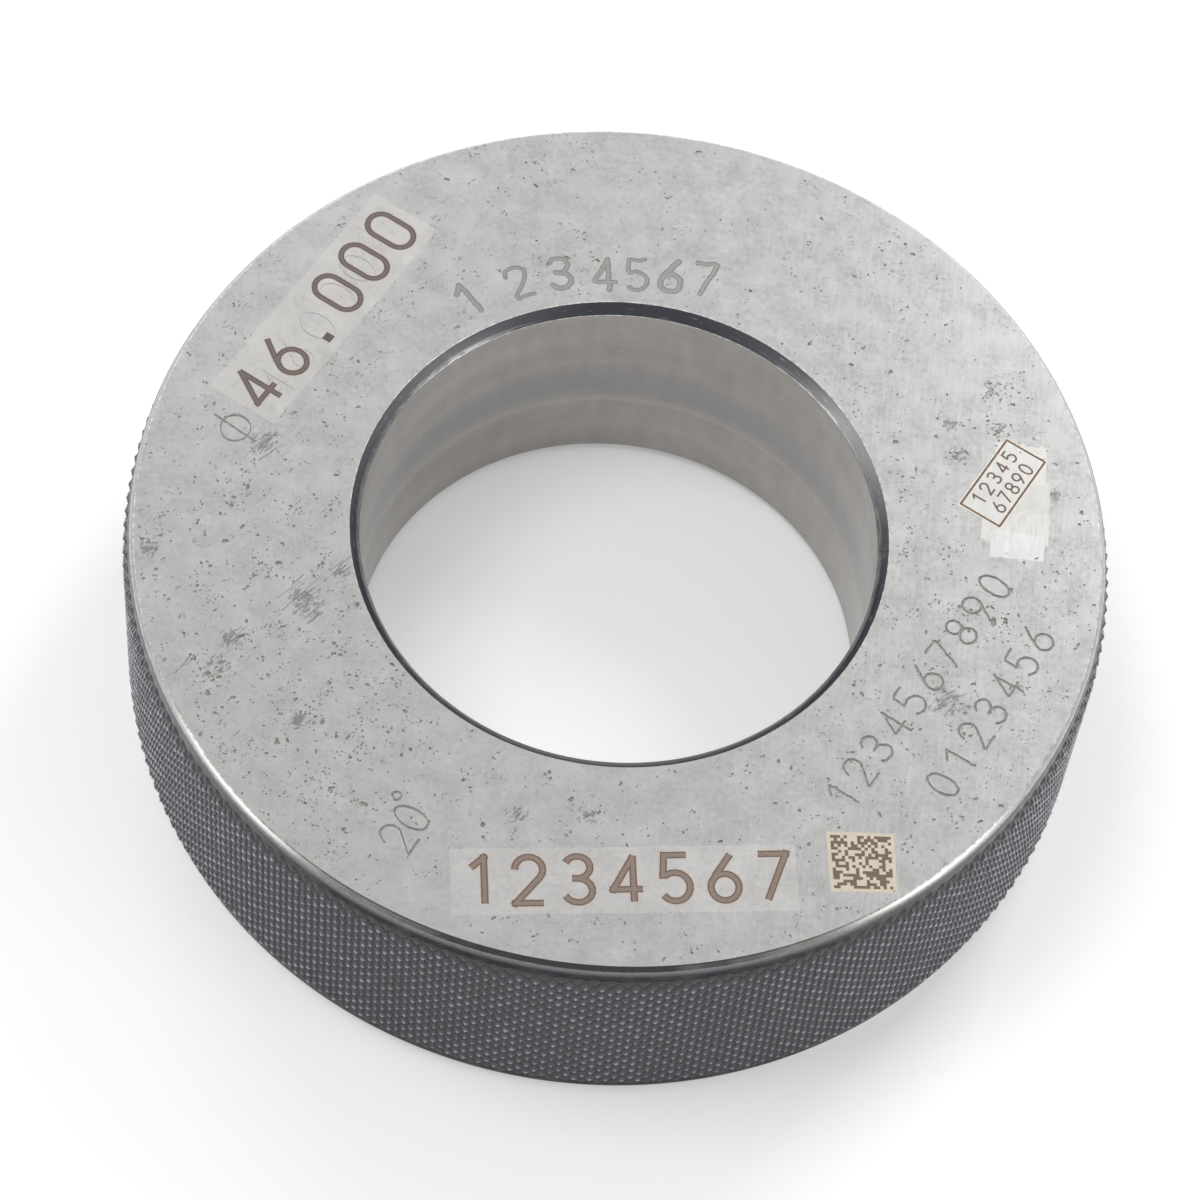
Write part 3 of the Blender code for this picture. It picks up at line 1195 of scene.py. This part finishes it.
def chamfer_finish(name):
    """The blackened chamfer, with turning lines, worn at random in a few places, and painted glints
    towards the back on its left and right, round one place at the right back and along its foot on the
    left and right.
    """
    finish = Finish(name)
    lines = finish.noise(1.0, 3.0, 0.6, finish.polar(9.0, 0.10))
    rubs = finish.noise(1.0, 4.0, 0.65, finish.polar(1.6, 0.35))
    sideways = abs(finish.along("X"))
    # Painted glints: towards the back on the left and right, round one place, and at the foot on both
    # sides.
    sides = sideways.remap(5, 20, 0.0, 0.16) * finish.along("Y").remap(-2, 11)
    rubbed_and_glint = finish.distance((*PAINTED_GLINT_PLACE, SIZE.height)).remap(2.0, 9.0, 0.34, 0.0)
    foot = finish.radius().remap(SIZE.bore + 0.08, SIZE.bore + 0.40, 1.0, 0.0)
    foot = foot * sideways.remap(8, 16) * (rubs + lines).remap(0.80, 1.15, 0.15, 0.9)
    worn = (rubs.remap(0.60, 0.78, 0.0, 0.45) + sides + rubbed_and_glint).most(foot)
    colour = worn.mix(lines.shade(0.3, 0.7, *CHAMFER_BLACK), CHAMFER_WEAR_AND_GLINT)
    finish.bump((lines, 0.01))
    return finish.surface(colour, lines.remap(0.3, 0.7, 0.26, 0.36), worn, ior=1.5)


def bore_finish(name):
    """The lapped bore: bands along its height, fine lines round it, soft stains, and a painted bluish
    reflection band with a painted light reflection line under it.
    """
    finish = Finish(name)
    bands = finish.noise(1.0, 2.0, 0.5, finish.polar(60.0, 4.5))
    lines = finish.noise(1.0, 3.0, 0.6, finish.polar(7.0, 0.14))
    stains = finish.noise(1.0, 4.0, 0.6, finish.polar(1.8, 6.0))
    colour = (bands * 0.5 + stains * 0.35 + lines * 0.15).shade(0.35, 0.65, *BORE_STEEL)
    # Painted reflections: a bluish band and a light line at given heights.
    wavy = finish.along("Z") + stains * 0.5
    for height, full, end, strength, shown in PAINTED_BORE_REFLECTIONS:
        colour = abs(wavy - height).remap(full, end, strength, 0.0).mix(colour, shown)
    finish.bump((lines, 0.004), (stains, 0.004))
    return finish.surface(colour, lines.remap(0.3, 0.7, 0.20, 0.30))


# The finishes by kind and name. Most have a dark and a light colour and how rough they are. Ground steel
# may add how specked it is, and stains add how metallic they are, and some their lumps' size and grain.
# The knurl's finishes have how bright their crests are at the front, and how bright with the painted
# sheen at the sides.
LOOKS = (
    (steel_finish, {
        "ground": ((0.382, 0.380, 0.374), (0.440, 0.437, 0.429), 0.29),
        "patch": ((0.440, 0.431, 0.421), (0.484, 0.475, 0.464), 0.30, 0.35),
    }),
    (brushed_finish, {
        "scraped": ((0.49, 0.485, 0.472), (0.54, 0.535, 0.522), 0.29),
        "scraped soft": ((0.45, 0.442, 0.422), (0.50, 0.492, 0.472), 0.30),
        "scraped bright": ((0.54, 0.537, 0.530), (0.60, 0.597, 0.590), 0.28),
        "stamp ground": ((0.485, 0.478, 0.464), (0.53, 0.523, 0.509), 0.30),
    }),
    (stain_finish, {
        "stamp halo": ((0.47, 0.42, 0.375), (0.54, 0.50, 0.46), 0.34, 0.95),
        "engraved": ((0.13, 0.128, 0.122), (0.30, 0.295, 0.285), 0.42, 0.85, 0.4),
        "scratched core": ((0.20, 0.197, 0.19), (0.27, 0.267, 0.26), 0.40, 0.95),
        "scratched": ((0.14, 0.138, 0.133), (0.22, 0.217, 0.21), 0.42, 0.9),
        "ghost": ((0.28, 0.275, 0.27), (0.38, 0.375, 0.37), 0.36, 1.0),
        "laser": ((0.102, 0.065, 0.047), (0.150, 0.102, 0.076), 0.48, 0.3),
        "laser core": ((0.175, 0.130, 0.105), (0.250, 0.196, 0.165), 0.45, 0.35),
        "dark laser": ((0.078, 0.056, 0.049), (0.116, 0.088, 0.080), 0.48, 0.3),
        "dark laser core": ((0.108, 0.084, 0.078), (0.160, 0.130, 0.123), 0.45, 0.35),
        "laser halo": ((0.39, 0.335, 0.30), (0.455, 0.41, 0.38), 0.36, 0.9),
        "code ground": ((0.44, 0.383, 0.306), (0.53, 0.474, 0.39), 0.38, 0.8),
        "code cell": ((0.105, 0.072, 0.049), (0.175, 0.125, 0.093), 0.45, 0.35),
        "pit": ((0.15, 0.146, 0.135), (0.31, 0.303, 0.29), 0.45, 0.85, 0.35, 0.02),
    }),
    (turned_finish, {"bevel": ((0.38, 0.37, 0.355), (0.47, 0.46, 0.445), 0.26)}),
    (worn_finish, {"worn edge": ((0.42, 0.412, 0.40), (0.80, 0.80, 0.795), 0.20)}),
    (knurl_finish, {"knurl": (0.52, 0.92), "burr": (0.65, 0.8)}),
    (black_finish, {"black": ()}),
    (chamfer_finish, {"chamfer": ()}),
    (bore_finish, {"bore": ()}),
)


def ring_materials():
    return {name: make(name, *look) for make, looks in LOOKS for name, look in looks.items()}


# The floor's and the lamps' sizes and places are in metres. The floor lies just under the ring.
FLOOR_REACH = 4.0
FLOOR_SIDES = 64
FLOOR_GAP = 0.02 * MM
FLOOR_COLOUR = (0.85, 0.85, 0.855)
FLOOR_LIFT = 0.28
WORLD_LIGHT = 0.50
WORLD_SEEN = 1.0

# Each lamp's name, place, size and power, and whether reflections show it.
LAMPS = (
    ("overhead lamp", (-0.35, 0.0, 0.90), 0.4, 2.1, False),
    ("left lamp", (-0.69, -0.29, 0.27), 0.35, 0.8, True),
    ("right lamp", (0.69, -0.29, 0.27), 0.35, 1.0, True),
    ("key lamp", (0.29, 0.50, 0.47), 0.26, 2.0, True),
    ("fill lamp", (-0.26, 0.52, 0.44), 0.26, 0.68, True),
)


def floor_material():
    """A plain studio surface. The camera and reflections see it lifted a little towards white."""
    finish = Finish("pale floor")
    finish.feed(finish.shader["Specular IOR Level"], 0.0)
    finish.feed(finish.shader["Emission Color"], (1, 1, 1))
    finish.feed(finish.shader["Emission Strength"], finish.seen_rays() * FLOOR_LIFT)
    return finish.surface(FLOOR_COLOUR, 1.0, 0.0)


def make_floor():
    mesh = bpy.data.meshes.new("floor")
    turns = [math.tau * step / FLOOR_SIDES for step in range(FLOOR_SIDES)]
    points = [(FLOOR_REACH * math.cos(turn), FLOOR_REACH * math.sin(turn), -FLOOR_GAP) for turn in turns]
    mesh.from_pydata(points, [], [list(range(FLOOR_SIDES))])
    mesh.materials.append(floor_material())
    add_object("floor", mesh)


def make_lamp(name, place, size, power, reflected):
    """A soft square lamp that faces the ring."""
    light = bpy.data.lights.new(name, "AREA")
    light.size = size
    light.energy = power
    lamp = add_object(name, light)
    lamp.location = place
    lamp.rotation_euler = (-Vector(place)).to_track_quat("-Z", "Y").to_euler()
    lamp.visible_glossy = reflected


def make_world():
    """A white studio round the ring, dimmer as light than it is to the camera and in reflections."""
    world = bpy.data.worlds.new("studio")
    bpy.context.scene.world = world
    world.use_nodes = True
    studio = Nodes(world.node_tree)
    background = world.node_tree.nodes["Background"].inputs
    studio.feed(background["Color"], (1, 1, 1))
    studio.feed(background["Strength"], studio.seen_rays().remap(0, 1, WORLD_LIGHT, WORLD_SEEN))


def make_camera():
    """The photograph's camera, placed from its angles and from where the top face lies in the picture."""
    data = bpy.data.cameras.new("camera")
    data.lens = CAMERA_LENS
    data.sensor_width = 36
    data.clip_start = 0.01
    tilt = Matrix.Rotation(math.radians(90 - CAMERA_ELEVATION), 4, "X")
    roll = Matrix.Rotation(math.radians(CAMERA_ROLL), 4, "Z")
    face = Matrix.Translation((0, 0, SIZE.height * MM))
    back = Vector((-FACE_RIGHT_OF_MIDDLE, -FACE_ABOVE_MIDDLE, CAMERA_DISTANCE)) * MM
    camera = add_object("camera", data)
    camera.matrix_world = face @ tilt @ roll @ Matrix.Translation(back)
    bpy.context.scene.camera = camera


make_camera()
make_world()
make_floor()
for lamp_settings in LAMPS:
    make_lamp(*lamp_settings)
bpy.context.scene.view_settings.view_transform = "Standard"

ring = ring_piece(ring_materials())
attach(ring, "root")
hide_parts(NODE)
